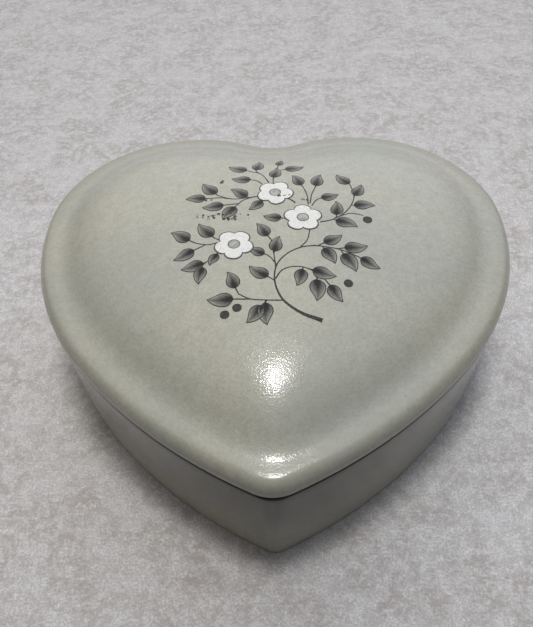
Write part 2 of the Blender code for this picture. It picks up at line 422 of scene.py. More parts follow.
def build_lid(glaze, clay):
    """The cover: from the crown over brim and roll, down the flange and back in."""
    rings = []
    brim = outline(BRIM_END)
    for share in CROWN_SHARES:
        plan = CROWN_CENTRE + (brim - CROWN_CENTRE) * share
        rings.append(np.column_stack((plan, top_height(plan))))
    roll_end = ROLL_RADIUS * (1 - math.sin(BRIM_SLOPE))
    for inset in np.linspace(BRIM_END, roll_end, BRIM_STEPS)[1:-1]:
        plan = outline(inset)
        rings.append(np.column_stack((plan, top_height(plan))))
    under_edge = SEAT_HEIGHT + UNDER_EDGE_RADIUS
    section = section_arc(
        ROLL_RADIUS, WIDEST_HEIGHT, ROLL_RADIUS, 90 + math.degrees(BRIM_SLOPE), 180, ROLL_STEPS
    )
    section += straight(section[-1], (0.0, under_edge), SKIRT_STEPS)
    section += section_arc(
        UNDER_EDGE_RADIUS, under_edge, UNDER_EDGE_RADIUS, 180, 270, UNDER_EDGE_STEPS
    )
    # Bare from the end of the under edge's round, over the seat, to the flange's bottom
    bare_start = len(rings) + len(section) - 2
    section.append((FLANGE_INSET, SEAT_HEIGHT))
    round_height = FLANGE_BOTTOM + FLANGE_EDGE_RADIUS
    section += section_arc(
        FLANGE_INSET + FLANGE_EDGE_RADIUS, round_height, FLANGE_EDGE_RADIUS,
        180, 270, FLANGE_ROUND_STEPS,
    )
    flange_inner = FLANGE_INSET + FLANGE_THICKNESS
    section += section_arc(
        flange_inner - FLANGE_EDGE_RADIUS, round_height, FLANGE_EDGE_RADIUS,
        270, 360, FLANGE_ROUND_STEPS,
    )
    bare_end = len(rings) + len(section) - FLANGE_ROUND_STEPS - 1
    rings += [level_ring(inset, height) for inset, height in section]
    ceiling = outline(flange_inner)
    for share in CEILING_SHARES:
        plan = CROWN_CENTRE + (ceiling - CROWN_CENTRE) * share
        rings.append(np.column_stack((plan, dome_height(inset_field(plan)) - SHELL_THICKNESS)))
    slots = [GLAZED] * (len(rings) - 1)
    slots[bare_start:bare_end] = [BARE] * (bare_end - bare_start)
    centre = CROWN_CENTRE[None]
    crown = (*CROWN_CENTRE, top_height(centre)[0])
    crown_inside = (*CROWN_CENTRE, dome_height(inset_field(centre))[0] - SHELL_THICKNESS)
    lid = closed_mesh("stoneware_lid", rings, slots, crown, crown_inside)
    mark_pooled_glaze_and_shade(lid.data)
    lid.data.materials.append(glaze)
    lid.data.materials.append(clay)
    return lid


# ---------------------------------------------------------------- the printed spray
# Plan millimetres on the lid. Each stem is (points, start width, end width, leaves), and a
# leaf is (share along the stem where it grows, its tip's x, its tip's y).
STEMS = (
    (((10.2, -21.0), (5.8, -19.2), (2.2, -16.0), (0.6, -11.5), (0.9, -7.0), (3.0, -3.7),
      (6.2, -1.6), (9.4, -1.0)), 1.0, 0.32, ()),
    (((6.0, -1.8), (7.8, 0.8), (8.5, 4.4)), 0.34, 0.26, ()),
    (((9.0, -1.0), (11.8, -1.4), (15.0, -2.2), (18.6, -4.0)), 0.34, 0.26,
     ((0.10, 15.6, 2.4), (0.22, 13.6, -6.4), (0.52, 21.2, -0.7), (0.62, 18.0, -8.4),
      (1.0, 23.4, -7.0))),
    (((0.7, -10.6), (2.3, -8.1), (5.2, -7.2), (8.2, -8.1), (11.2, -10.8)), 0.36, 0.26,
     ((0.58, 5.1, -12.6), (0.66, 13.8, -9.8), (0.82, 9.2, -16.4), (1.0, 14.8, -16.3))),
    (((2.7, -16.3), (-1.0, -16.2), (-4.6, -15.8), (-7.0, -14.4)), 0.36, 0.26,
     ((0.38, -5.3, -21.6), (0.42, -0.9, -22.3), (0.72, -13.7, -15.4), (1.0, -9.7, -8.4))),
    (((0.7, -11.2), (-0.2, -10.5)), 0.30, 0.26, ((1.0, -5.0, -6.9),)),
    (((1.0, -6.8), (-0.2, -4.7), (-1.2, -3.7)), 0.32, 0.26, ((1.0, -5.6, -1.9),)),
    (((0.8, -7.4), (0.3, -3.0), (-0.2, 0.8)), 0.32, 0.26,
     ((0.50, 1.7, 2.0), (1.0, -3.7, 6.2))),
    (((-11.8, 0.4), (-14.4, -0.2), (-17.0, 0.4)), 0.36, 0.26,
     ((0.55, -21.8, -4.2), (1.0, -23.2, 4.2))),
    (((-11.4, 0.9), (-13.0, 1.8)), 0.32, 0.26, ((1.0, -16.9, 6.7),)),
    (((-11.6, -2.4), (-13.4, -4.4), (-15.1, -6.2)), 0.34, 0.26,
     ((0.10, -13.6, -6.5), (0.80, -19.9, -7.0), (1.0, -15.6, -11.4))),
    (((10.9, 6.5), (13.6, 7.3), (16.4, 9.4), (18.4, 12.4), (19.3, 15.8), (18.8, 20.0)),
     0.36, 0.26,
     ((0.18, 19.4, 4.9), (0.24, 14.9, 13.8), (0.55, 24.1, 12.4), (0.74, 21.4, 20.4),
      (1.0, 15.7, 24.6))),
    (((14.4, 8.0), (18.0, 9.5), (21.0, 8.9)), 0.28, 0.24, ()),
    (((8.4, 12.6), (8.2, 16.0), (7.4, 19.2)), 0.32, 0.26, ((1.0, 4.7, 24.4),)),
    (((8.8, 13.0), (9.3, 16.2), (10.0, 18.4)), 0.32, 0.26, ((1.0, 11.9, 24.6),)),
    (((9.2, 12.2), (10.2, 14.0), (11.0, 14.7)), 0.34, 0.26, ((1.0, 15.7, 16.4),)),
    (((3.4, 7.8), (2.6, 7.8)), 0.30, 0.26, ((1.0, -2.2, 8.8),)),
    (((0.2, 20.8), (0.1, 22.4)), 0.32, 0.26, ((1.0, 0.8, 28.4),)),
    (((-0.9, 21.2), (-2.2, 24.2), (-4.2, 26.8)), 0.34, 0.26,
     ((0.80, -11.2, 29.3), (1.0, -3.6, 32.2))),
    (((-2.6, 20.8), (-3.6, 22.0), (-4.8, 22.6)), 0.32, 0.26, ((1.0, -10.2, 23.4),)),
    (((1.0, 26.6), (1.2, 28.6), (1.3, 29.6)), 0.30, 0.26,
     ((0.20, 7.8, 28.7), (1.0, 2.4, 33.2))),
    (((-3.4, 15.8), (-6.6, 15.3), (-9.8, 15.1), (-13.2, 16.6)), 0.34, 0.26,
     ((0.20, -10.2, 18.8), (1.0, -17.0, 21.6))),
    (((-9.6, 15.1), (-12.6, 15.6), (-14.8, 15.5)), 0.30, 0.26, ((1.0, -20.8, 15.4),)),
    (((-4.2, 15.8), (-6.8, 14.6), (-8.4, 12.7)), 0.36, 0.28,
     ((0.85, -16.6, 12.2), (1.0, -11.4, 7.6))),
    (((-1.6, 15.0), (-2.0, 14.4)), 0.30, 0.26, ((1.0, -5.6, 11.0),)),
    (((3.0, 15.4), (4.4, 14.3), (5.4, 13.2)), 0.55, 0.36, ()),
)
# Blossoms are (x, y, turn in degrees), and berries (x, y, radius)
BLOSSOMS = ((-8.5, -0.4, 270.0), (7.0, 8.0, 90.0), (0.6, 17.2, 278.0))
BERRIES = ((-7.2, -17.9, 1.0), (-9.7, -19.4, 1.0), (16.1, -11.5, 1.0), (21.8, 7.5, 1.1))

# The whole print is a little longer than its drawing and sits a little nearer the tip
PRINT_STRETCH = np.array((1.004, 1.044))
PRINT_SHIFT = np.array((0.0, -0.15))

# Patches where the print is worn: (x, y, spread along x, spread along y, flecks)
WORN_PATCHES = (
    (-13.2, 9.2, 4.6, 1.0, 24),
    (-9.2, 8.0, 2.4, 0.7, 14),
    (-12.2, 21.8, 1.0, 0.5, 5),
    (-15.6, 14.8, 1.6, 0.5, 4),
    (2.2, 15.8, 1.9, 0.6, 9),
    (7.2, 14.4, 1.0, 0.3, 4),
)
WORN_SEED = 11
WORN_SIDES = 9
FLECK_RADII = (0.10, 0.30)
FLECK_RAGGED = (0.45, 1.0)
FLECK_STRETCH = 1.5

RIBBON_ROWS = (-1.0, -0.5, 0.0, 0.5, 1.0)
RIBBON_TAPER = 4
STALK_WIDTH = 0.30
STALK_SPACING = 0.3
STALK_REACH = 0.12
# Leaves take four lengths in turn, and never fill the whole way from the stem to their tip
LEAF_LENGTH = 5.25
LEAF_LENGTHS = (0.94, 0.99, 1.04, 1.09)
LEAF_FILL = 0.9
LEAF_SLIMNESS = 0.31
LEAF_SWELL = 0.68
LEAF_BLUNTNESS = 0.95
LEAF_BEND = 0.10
LEAF_STEPS = 14
LEAF_STEP_GROWTH = 1.15
LEAF_ROWS = (-1.0, -0.8, -0.4, 0.0, 0.4, 0.8, 1.0)
BLOSSOM_RADIUS = 4.55
BLOSSOM_NOTCH = 0.25
BLOSSOM_TURNS = 100
BLOSSOM_RINGS = 14
BLOSSOM_RING_GROWTH = 0.8
PETALS = 5
PETAL_ROUNDNESS = 0.7
PETAL_WOBBLE = 0.012
PETAL_WOBBLES = 7
PETAL_SHOULDER = 0.5
INNERMOST_SHARE = 0.02
HEART_RADIUS = 1.35
BERRY_TURNS = 24
BERRY_RINGS = 6


def smooth_path(points, spacing=0.35):
    """Points along a Catmull-Rom curve through the given ones, about spacing apart."""
    given = np.array(points, float)
    padded = np.vstack((2 * given[0] - given[1], given, 2 * given[-1] - given[-2]))
    path = []
    for before, start, end, after in zip(padded, padded[1:], padded[2:], padded[3:]):
        steps = max(2, int(np.linalg.norm(end - start) / spacing))
        for share in np.arange(steps) / steps:
            path.append(0.5 * (
                2 * start + (end - before) * share
                + (2 * before - 5 * start + 4 * end - after) * share ** 2
                + (3 * start - before - 3 * end + after) * share ** 3
            ))
    path.append(given[-1])
    return np.array(path)


def side_vectors(path):
    """Unit vectors to the left of the path at each of its points."""
    along = np.gradient(path, axis=0)
    along /= np.linalg.norm(along, axis=1)[:, None]
    return np.column_stack((-along[:, 1], along[:, 0]))


class Print:
    """A thin mesh laid on the lid's dome, gathered in plan millimetres.

    Each vertex has a lift off the glaze, a place on its own motif, along and across it, and
    its distance in millimetres from the motif's edge.
    """

    def __init__(self, name):
        self.name = name
        self.points = []
        self.lifts = []
        self.places = []
        self.edges = []
        self.faces = []

    def add_grid(self, rows, places, edges, lift, wrap=False):
        """rows is an array (n, m, 2) of plan points; places and edges match it."""
        count, width = rows.shape[:2]
        first = len(self.points)
        self.points += [tuple(p) for p in rows.reshape(-1, 2)]
        self.places += [tuple(p) for p in places.reshape(-1, 2)]
        self.edges += list(edges.reshape(-1))
        self.lifts += list(np.broadcast_to(lift, (count, width)).reshape(-1))
        last = width if wrap else width - 1
        for row in range(count - 1):
            for column in range(last):
                after = (column + 1) % width
                corner = first + row * width
                below = corner + width
                self.faces.append(
                    (corner + column, corner + after, below + after, below + column)
                )

    def build(self, material):
        points = (np.array(self.points) * PRINT_STRETCH + PRINT_SHIFT) * MM
        heights = top_height(points) + np.array(self.lifts)
        mesh = bpy.data.meshes.new(self.name)
        mesh.from_pydata([(*p, h) for p, h in zip(points, heights)], [], self.faces)
        edge = mesh.attributes.new("edge_mm", "FLOAT", "POINT")
        edge.data.foreach_set("value", np.array(self.edges, np.float32))
        place = mesh.attributes.new("place", "FLOAT_VECTOR", "POINT")
        flat = np.column_stack((np.array(self.places), np.zeros(len(self.places))))
        place.data.foreach_set("vector", flat.astype(np.float32).ravel())
        builder = bmesh.new()
        builder.from_mesh(mesh)
        bmesh.ops.remove_doubles(builder, verts=builder.verts, dist=PRINT_MERGE_DISTANCE)
        bmesh.ops.recalc_face_normals(builder, faces=builder.faces)
        if sum(face.normal.z for face in builder.faces) < 0:
            bmesh.ops.reverse_faces(builder, faces=builder.faces)
        builder.to_mesh(mesh)
        builder.free()
        mesh.shade_smooth()
        mesh.materials.append(material)
        made = bpy.data.objects.new(self.name, mesh)
        bpy.context.scene.collection.objects.link(made)
        return made


def add_ribbon(sheet, path, start_width, end_width):
    """A stem's stroke: a tapering strip along the path."""
    shares = np.linspace(0.0, 1.0, len(path))
    half = (end_width + (start_width - end_width) * (1 - shares) ** RIBBON_TAPER) / 2
    sides = side_vectors(path)
    across = np.array(RIBBON_ROWS)
    rows = path[:, None] + sides[:, None] * (half[:, None] * across[None])[..., None]
    places = np.stack(np.broadcast_arrays(shares[:, None], across[None]), axis=-1)
    edges = half[:, None] * (1 - np.abs(across))[None]
    sheet.add_grid(rows, places, edges, PRINT_LIFT)


def add_leaf(leaves, base, tip, bend):
    """A leaf blade from base to tip: egg-shaped, pointed, its midrib bent a little."""
    axis = tip - base
    length = np.linalg.norm(axis)
    side = np.array((-axis[1], axis[0])) / length
    shares = np.linspace(0.0, 1.0, LEAF_STEPS + 1) ** LEAF_STEP_GROWTH
    midrib = base + axis * shares[:, None]
    midrib = midrib + side * (bend * length * np.sin(math.pi * shares) * shares)[:, None]
    half = LEAF_SLIMNESS * length * np.sin(math.pi * shares ** LEAF_SWELL) ** LEAF_BLUNTNESS
    half[-1] = 0.0
    across = np.array(LEAF_ROWS)
    sides = side_vectors(midrib)
    rows = midrib[:, None] + sides[:, None] * (half[:, None] * across[None])[..., None]
    places = np.stack(np.broadcast_arrays(shares[:, None], across[None]), axis=-1)
    edges = half[:, None] * (1 - np.abs(across))[None]
    leaves.add_grid(rows, places, edges, PRINT_LIFT * LEAF_LAYERS)


def add_blossom(blossoms, x, y, turn):
    """A five-petalled blossom, its enamel a little thicker in the middle of each petal."""
    angles = np.arange(BLOSSOM_TURNS) / BLOSSOM_TURNS * 2 * math.pi
    lobes = np.abs(np.cos(PETALS / 2 * (angles - math.radians(turn))))
    rims = BLOSSOM_RADIUS * (1 - BLOSSOM_NOTCH + BLOSSOM_NOTCH * lobes ** PETAL_ROUNDNESS)
    rims *= 1 + PETAL_WOBBLE * np.sin(PETAL_WOBBLES * angles + x)
    shares = np.linspace(0.0, 1.0, BLOSSOM_RINGS) ** BLOSSOM_RING_GROWTH
    shares[0] = INNERMOST_SHARE
    directions = np.column_stack((np.cos(angles), np.sin(angles)))
    reach = shares[:, None] * rims[None]
    rows = np.array((x, y)) + directions[None] * reach[..., None]
    places = np.stack((reach, np.broadcast_to(angles[None], reach.shape)), axis=-1)
    edges = rims[None] - reach
    puff = np.clip(edges / PETAL_SHOULDER, 0, 1)
    lift = PRINT_LIFT * (PETAL_EDGE_LAYERS + PETAL_PUFF_LAYERS * puff)
    blossoms.add_grid(rows, places, edges, lift, wrap=True)
    close_ring(blossoms, x, y, rows[0], reach[0].max())


def close_ring(blossoms, x, y, ring, radius):
    """Fills a blossom's innermost ring, from its middle at (x, y)."""
    rows = np.stack((np.broadcast_to((x, y), ring.shape), ring))
    reach = np.stack((np.zeros(len(ring)), np.full(len(ring), radius)))
    places = np.stack((reach, np.zeros_like(reach)), axis=-1)
    edges = np.full(reach.shape, BLOSSOM_RADIUS)
    blossoms.add_grid(rows, places, edges, PRINT_LIFT * BLOSSOM_HEART_LAYERS, wrap=True)


def add_berry(berries, x, y, radius):
    """A small round of print."""
    angles = np.arange(BERRY_TURNS) / BERRY_TURNS * 2 * math.pi
    directions = np.column_stack((np.cos(angles), np.sin(angles)))
    shares = np.linspace(0.0, 1.0, BERRY_RINGS)
    reach = np.broadcast_to(shares[:, None] * radius, (BERRY_RINGS, BERRY_TURNS))
    rows = np.array((x, y)) + directions[None] * reach[..., None]
    places = np.stack((reach / radius, np.broadcast_to(angles[None], reach.shape)), axis=-1)
    berries.add_grid(rows, places, radius - reach, PRINT_LIFT * BERRY_LAYERS, wrap=True)


def add_fleck(sheet, x, y, radius, chance):
    """A ragged little patch, longer than it is deep."""
    angles = np.arange(WORN_SIDES) / WORN_SIDES * 2 * math.pi
    reach = radius * np.array([chance.uniform(*FLECK_RAGGED) for _ in range(WORN_SIDES)])
    rim = np.column_stack((FLECK_STRETCH * reach * np.cos(angles), reach * np.sin(angles)))
    shares = np.array((INNERMOST_SHARE, 1.0))
    rows = np.array((x, y)) + rim[None] * shares[:, None, None]
    places = np.zeros(rows.shape)
    edges = (1 - shares)[:, None] * reach[None]
    lift = PRINT_LIFT * FLECK_LAYERS
    sheet.add_grid(rows, places, edges, lift, wrap=True)
    middle = np.stack((np.broadcast_to((x, y), rim.shape), rows[0]))
    sheet.add_grid(middle, np.zeros(middle.shape), np.ones(middle.shape[:2]), lift, wrap=True)


def build_flecks(worn):
    """Dark crumbs of worn print, scattered in a few thin drifts."""
    sheet = Print("spray_worn_flecks")
    chance = random.Random(WORN_SEED)
    for x, y, across, deep, count in WORN_PATCHES:
        for _ in range(count):
            place = (chance.gauss(x, across / 2), chance.gauss(y, deep / 2))
            add_fleck(sheet, *place, chance.uniform(*FLECK_RADII), chance)
    return sheet.build(worn)


def build_spray(leaf_ink, stem_ink, enamel, berry_ink):
    leaves = Print("spray_leaves")
    stems = Print("spray_stems")
    blossoms = Print("spray_blossoms")
    berries = Print("spray_berries")
    grown = 0
    for points, start_width, end_width, tips in STEMS:
        path = smooth_path(points)
        add_ribbon(stems, path, start_width, end_width)
        for share, tip_x, tip_y in tips:
            place = path[int(round(share * (len(path) - 1)))]
            tip = np.array((tip_x, tip_y))
            distance = np.linalg.norm(tip - place)
            full = LEAF_LENGTH * LEAF_LENGTHS[grown % len(LEAF_LENGTHS)]
            length = min(full, LEAF_FILL * distance)
            base = tip + (place - tip) * length / distance
            stalk = smooth_path((place, base + (tip - base) * STALK_REACH), STALK_SPACING)
            add_ribbon(stems, stalk, end_width, STALK_WIDTH)
            add_leaf(leaves, base, tip, LEAF_BEND if grown % 2 else -LEAF_BEND)
            grown += 1
    for blossom in BLOSSOMS:
        add_blossom(blossoms, *blossom)
    for x, y, radius in BERRIES:
        add_berry(berries, x, y, radius)
    return (
        leaves.build(leaf_ink),
        stems.build(stem_ink),
        blossoms.build(enamel),
        berries.build(berry_ink),
    )


# ---------------------------------------------------------------- materials
class Nodes:
    """A material's node tree, with short ways to add what the materials here use."""

    def __init__(self, name):
        self.material = bpy.data.materials.new(name)
        self.material.use_nodes = True
        self.tree = self.material.node_tree
        self.shader = self.tree.nodes["Principled BSDF"]

    def add(self, kind, **settings):
        node = self.tree.nodes.new(kind)
        for key, value in settings.items():
            setattr(node, key, value)
        return node

    def link(self, output, target):
        self.tree.links.new(output, target)

    def feed(self, target, value):
        """Sets an input to a number or colour, or links an output to it."""
        if isinstance(value, bpy.types.NodeSocket):
            self.link(value, target)
        else:
            target.default_value = value

    def object_place(self):
        return self.add("ShaderNodeTexCoord").outputs["Object"]

    def noise(self, place, scale, detail=2.0, roughness=0.5):
        node = self.add("ShaderNodeTexNoise")
        self.link(place, node.inputs["Vector"])
        node.inputs["Scale"].default_value = scale
        node.inputs["Detail"].default_value = detail
        node.inputs["Roughness"].default_value = roughness
        return node.outputs["Fac"]

    def cells(self, place, scale):
        node = self.add("ShaderNodeTexVoronoi")
        self.link(place, node.inputs["Vector"])
        node.inputs["Scale"].default_value = scale
        return node

    def spread(self, value, low, high, to_low=0.0, to_high=1.0):
        node = self.add("ShaderNodeMapRange", interpolation_type="SMOOTHSTEP")
        self.link(value, node.inputs["Value"])
        for key, number in (("From Min", low), ("From Max", high),
                            ("To Min", to_low), ("To Max", to_high)):
            node.inputs[key].default_value = number
        return node.outputs["Result"]

    def math(self, operation, first, second=0.0):
        node = self.add("ShaderNodeMath", operation=operation)
        self.feed(node.inputs[0], first)
        self.feed(node.inputs[1], second)
        return node.outputs[0]

    def mix(self, share, first, second):
        node = self.add("ShaderNodeMix", data_type="RGBA")
        self.feed(node.inputs["Factor"], share)
        self.feed(node.inputs["A"], first)
        self.feed(node.inputs["B"], second)
        return node.outputs["Result"]

    def bump(self, height, distance, strength=1.0, before=None):
        node = self.add("ShaderNodeBump")
        self.link(height, node.inputs["Height"])
        node.inputs["Distance"].default_value = distance
        node.inputs["Strength"].default_value = strength
        if before is not None:
            self.link(before, node.inputs["Normal"])
        return node.outputs["Normal"]

    def attribute(self, name):
        return self.add("ShaderNodeAttribute", attribute_name=name)


def colour(red, green, blue):
    """A linear colour from the sRGB numbers 0 to 255 that a paint chart would give."""
    def linear(value):
        share = value / 255
        return share / 12.92 if share <= 0.04045 else ((share + 0.055) / 1.055) ** 2.4
    return (linear(red), linear(green), linear(blue), 1.0)


# Each glaze: its warm, cool, shade and pooled colours, and how far the last takes over; on the
# dish the last is painted shade under the lid's overhang, on the lid pooled glaze with painted
# shade in the hollow ring
LID_GLAZE = (colour(193, 191, 176), colour(181, 183, 173), colour(158, 156, 142),
             colour(128, 128, 118), 0.12)
BASE_GLAZE = (colour(200, 197, 180), colour(190, 190, 178), colour(164, 161, 146),
              colour(90, 90, 82), 1.0)
SPECK_BROWN = colour(112, 104, 88)
# Tan of thin glaze over the roll, with painted shade in it, and how far it takes over
TAN_BREAK_AND_SHADE = colour(142, 138, 121)
THIN_AND_SHADE_DEPTH = 0.5
# A scale is how many waves of noise, or cells, go to a metre
CLOUD_SCALE = 30.0
MOTTLE_SCALE = 420.0
MOTTLE_SHARE = 0.35
FINE_SCALE = 1500.0
FINE_SHARE = 0.45
SPECK_SCALE = 420.0
SPECK_CHOICE_SCALE = 700.0
SPECK_SHARE = 0.75
GLOSS_INDEX = 1.5
ROUGHNESS_SCALE = 160.0
ROUGHNESS_LOW = 0.12
ROUGHNESS_HIGH = 0.20
ORANGE_PEEL_SCALE = 2300.0
ORANGE_PEEL_DISTANCE = 0.036 * MM
GRAIN_SCALE = 4200.0
GRAIN_DISTANCE = 0.008 * MM


def glaze_finish(made, place, gloss_index=GLOSS_INDEX):
    """Satin gloss with the fine orange peel of a fired glaze."""
    patches = made.noise(place, ROUGHNESS_SCALE, 3.0)
    roughness = made.spread(patches, 0.3, 0.7, ROUGHNESS_LOW, ROUGHNESS_HIGH)
    made.link(roughness, made.shader.inputs["Roughness"])
    made.shader.inputs["IOR"].default_value = gloss_index
    peel = made.bump(made.noise(place, ORANGE_PEEL_SCALE, 2.0), ORANGE_PEEL_DISTANCE)
    grain = made.bump(made.noise(place, GRAIN_SCALE, 1.0), GRAIN_DISTANCE, before=peel)
    made.link(grain, made.shader.inputs["Normal"])


def glaze_material(name, warm, cool, shade, pooled_and_shaded, pool_and_shade_depth):
    """Speckled grey-green stoneware glaze, darker where it pools and where shade is painted in,
    and tan where it thins, with painted shade there too.
    """
    made = Nodes(name)
    place = made.object_place()
    clouds = made.spread(made.noise(place, CLOUD_SCALE, 2.0), 0.32, 0.68)
    body = made.mix(clouds, warm, cool)
    mottle = made.spread(made.noise(place, MOTTLE_SCALE, 4.0, 0.65), 0.30, 0.72)
    body = made.mix(made.math("MULTIPLY", mottle, MOTTLE_SHARE), body, shade)
    fine = made.spread(made.noise(place, FINE_SCALE, 3.0, 0.7), 0.40, 0.68)
    body = made.mix(made.math("MULTIPLY", fine, FINE_SHARE), body, shade)
    specks = made.cells(place, SPECK_SCALE)
    near = made.spread(specks.outputs["Distance"], 0.03, 0.14, SPECK_SHARE, 0.0)
    chosen = made.spread(made.noise(place, SPECK_CHOICE_SCALE, 2.0), 0.60, 0.70)
    body = made.mix(made.math("MULTIPLY", near, chosen), body, SPECK_BROWN)
    # Painted shade: under the lid's overhang on the dish, and with pooled glaze in the lid's
    # hollow ring
    pool_and_shade = made.math("MULTIPLY", made.attribute("pool_and_shade").outputs["Fac"], pool_and_shade_depth)
    body = made.mix(pool_and_shade, body, pooled_and_shaded)
    # Tan over the roll and brim: thin glaze with painted shade, most at the back
    thin = made.math("MULTIPLY", made.attribute("thin").outputs["Fac"], THIN_AND_SHADE_DEPTH)
    body = made.mix(thin, body, TAN_BREAK_AND_SHADE)
    made.link(body, made.shader.inputs["Base Color"])
    glaze_finish(made, place)
    return made.material


CLAY_PALE = colour(176, 160, 136)
CLAY_DEEP = colour(150, 132, 108)
CLAY_SPECK = colour(84, 66, 48)


def clay_material():
    """Bare fired stoneware, where glaze was wiped off the foot and the seats."""
    made = Nodes("bare_stoneware")
    place = made.object_place()
    grain = made.noise(place, 900.0, 5.0, 0.7)
    body = made.mix(made.spread(grain, 0.3, 0.7), CLAY_PALE, CLAY_DEEP)
    specks = made.cells(place, 620.0)
    near = made.spread(specks.outputs["Distance"], 0.08, 0.16, 1.0, 0.0)
    chosen = made.spread(made.noise(place, 260.0, 2.0), 0.52, 0.6)
    body = made.mix(made.math("MULTIPLY", near, chosen), body, CLAY_SPECK)
    made.link(body, made.shader.inputs["Base Color"])
    made.link(made.spread(grain, 0.2, 0.8, 0.72, 0.9), made.shader.inputs["Roughness"])
    made.link(made.bump(grain, 0.03 * MM), made.shader.inputs["Normal"])
    return made.material


# Printed ink sits under less glaze than the body and shines less
INK_GLOSS_INDEX = 1.3
INK_DARK = colour(38, 37, 35)
INK_MIDDLE = colour(112, 111, 105)
INK_PALE = colour(172, 170, 160)
LEAF_OUTLINE = colour(44, 43, 41)
# Outlines start to fade, and are gone, this many millimetres in from a motif's edge
LEAF_LINE = (0.14, 0.28)
PETAL_LINE = (0.22, 0.42)
# The plain inks: where they lie thick, and where they lie thin
STEM_INK = (colour(52, 51, 48), colour(84, 83, 79))
BERRY_INK = (colour(54, 53, 50), colour(88, 87, 82))
WORN_INK = (colour(46, 34, 22), colour(104, 80, 52))
# The blossoms' enamel
PETAL_WHITE = colour(240, 240, 235)
PETAL_CRACKLE = colour(168, 168, 162)
PETAL_BRUSHED = colour(186, 186, 180)
PETAL_OUTLINE = colour(58, 57, 55)
HEART_OUTLINE = colour(84, 83, 79)
HEART_PALE = colour(186, 185, 178)
HEART_DEEP = colour(148, 147, 140)


def leaf_material():
    """Grey ink, dark round the base and midrib, paler to the tip, with a dark outline."""
    made = Nodes("leaf_ink")
    place = made.object_place()
    motif = made.add("ShaderNodeSeparateXYZ")
    made.link(made.attribute("place").outputs["Vector"], motif.inputs[0])
    along, across = motif.outputs["X"], made.math("ABSOLUTE", motif.outputs["Y"])
    wide = made.math("MULTIPLY", made.math("POWER", across, 1.4), 0.62)
    fade = made.math("ADD", made.math("MULTIPLY", along, 0.85), wide)
    slanted = made.add("ShaderNodeCombineXYZ")
    made.link(made.math("SUBTRACT", along, made.math("MULTIPLY", across, 0.35)), slanted.inputs[0])
    made.link(made.math("MULTIPLY", motif.outputs["Y"], 0.12), slanted.inputs[1])
    streaks = made.noise(slanted.outputs[0], 13.0, 2.0, 0.7)
    fade = made.math("ADD", fade, made.math("MULTIPLY", streaks, 0.42))
    ink = made.mix(made.spread(fade, 0.46, 0.86), INK_DARK, INK_MIDDLE)
    ink = made.mix(made.spread(fade, 0.80, 1.40), ink, INK_PALE)
    rib = made.math("MULTIPLY", made.spread(across, 0.03, 0.12, 1.0, 0.0), 0.45)
    ink = made.mix(rib, ink, INK_DARK)
    line = made.spread(made.attribute("edge_mm").outputs["Fac"], *LEAF_LINE, 1.0, 0.0)
    ink = made.mix(line, ink, LEAF_OUTLINE)
    made.link(ink, made.shader.inputs["Base Color"])
    glaze_finish(made, place, gloss_index=INK_GLOSS_INDEX)
    return made.material


def ink_material(name, dark, light):
    """Plain dark ink for stems and berries, thinner in places."""
    made = Nodes(name)
    place = made.object_place()
    thin = made.spread(made.noise(place, 1900.0, 3.0, 0.7), 0.35, 0.8)
    made.link(made.mix(thin, dark, light), made.shader.inputs["Base Color"])
    glaze_finish(made, place, gloss_index=INK_GLOSS_INDEX)
    return made.material


def enamel_material():
    """Thick white enamel petals with a grey outline and an outlined grey heart."""
    made = Nodes("blossom_enamel")
    place = made.object_place()
    crackle = made.cells(place, 1100.0)
    crackle.feature = "DISTANCE_TO_EDGE"
    lines = made.spread(crackle.outputs["Distance"], 0.01, 0.06, 1.0, 0.0)
    white = made.mix(made.math("MULTIPLY", lines, 0.26), PETAL_WHITE, PETAL_CRACKLE)
    brushed = made.spread(made.noise(place, 1300.0, 3.0, 0.6), 0.45, 0.70)
    white = made.mix(made.math("MULTIPLY", brushed, 0.35), white, PETAL_BRUSHED)
    motif = made.add("ShaderNodeSeparateXYZ")
    made.link(made.attribute("place").outputs["Vector"], motif.inputs[0])
    reach = motif.outputs["X"]
    inner = made.spread(reach, HEART_RADIUS - 0.24, HEART_RADIUS - 0.10, 1.0, 0.0)
    around = made.spread(reach, HEART_RADIUS, HEART_RADIUS + 0.14, 1.0, 0.0)
    cloudy = made.spread(made.noise(place, 900.0, 2.0), 0.35, 0.7)
    heart = made.mix(cloudy, HEART_PALE, HEART_DEEP)
    ink = made.mix(around, white, HEART_OUTLINE)
    ink = made.mix(inner, ink, heart)
    line = made.spread(made.attribute("edge_mm").outputs["Fac"], *PETAL_LINE, 1.0, 0.0)
    ink = made.mix(line, ink, PETAL_OUTLINE)
    made.link(ink, made.shader.inputs["Base Color"])
    glaze_finish(made, place)
    return made.material


FLOOR_SIZE = 6.0
FLOOR_WARM = colour(190, 184, 180)
FLOOR_COOL = colour(210, 207, 206)
FLOOR_BLOT = colour(236, 234, 235)
FLOOR_FLAKE = colour(244, 243, 244)
FLOOR_GRAIN = colour(146, 141, 139)
# Painted shade over the worktop's front: its colour, how far it takes over, and where it fades in
# and is full
FLOOR_PAINTED_SHADE = colour(70, 66, 63)
FLOOR_PAINTED_SHADE_SHARE = 0.80
FLOOR_UNSHADED_FROM = -0.035
FLOOR_SHADED_FROM = -0.200


